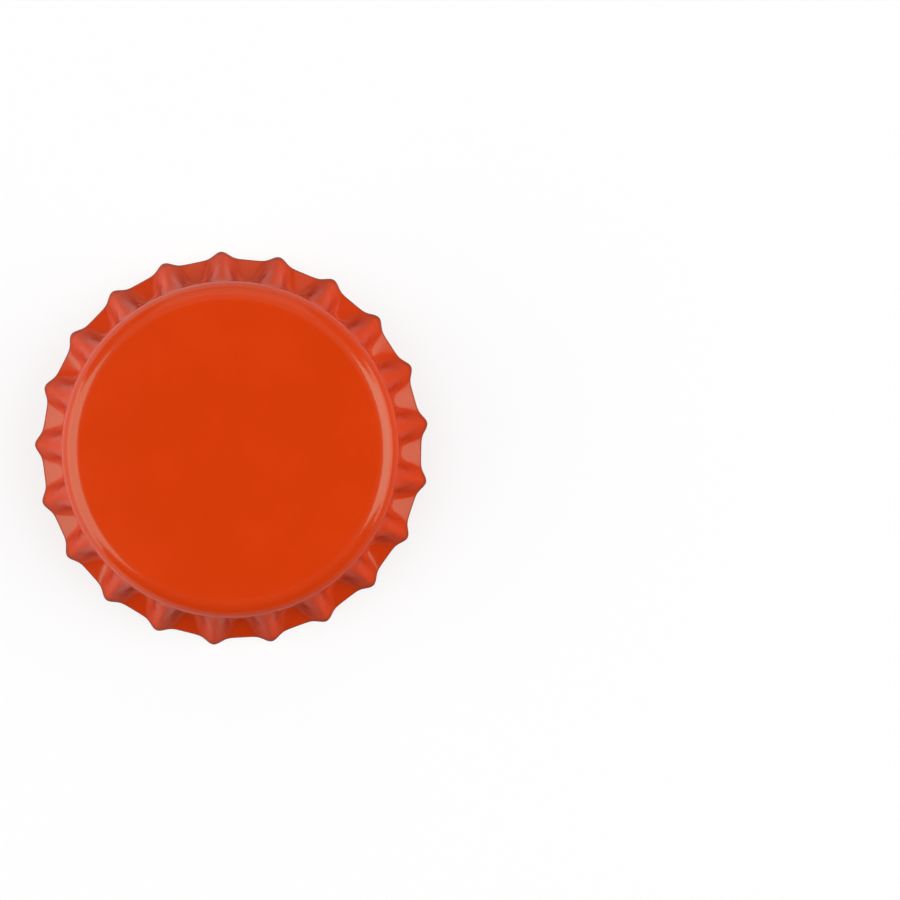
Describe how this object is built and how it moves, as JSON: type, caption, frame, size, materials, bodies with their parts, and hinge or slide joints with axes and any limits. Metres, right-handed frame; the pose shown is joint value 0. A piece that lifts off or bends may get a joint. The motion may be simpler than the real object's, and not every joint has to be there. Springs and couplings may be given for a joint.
{
  "type": "crown bottle cap",
  "caption": "Pressed crown cap with a fluted flaring skirt, a rounded shoulder, a shallow domed panel and a moulded sealing liner inside; closes a glass bottle.",
  "frame": {"origin": "on the cap's axis, in the plane of the rim that it rests on", "axes": "+Z along the cap's axis, up through the panel; +X to the right of the picture and +Y to its top"},
  "size_m": [0.0319, 0.032, 0.006],
  "materials": {
    "lacquered_tinplate": "gloss orange lacquer outside, bare tinplate inside",
    "sealing_liner": "matt, slightly translucent pale grey"
  },
  "bodies": {
    "root": {"crown_shell": "lacquered_tinplate", "liner": "sealing_liner"}
  },
  "joints": []
}
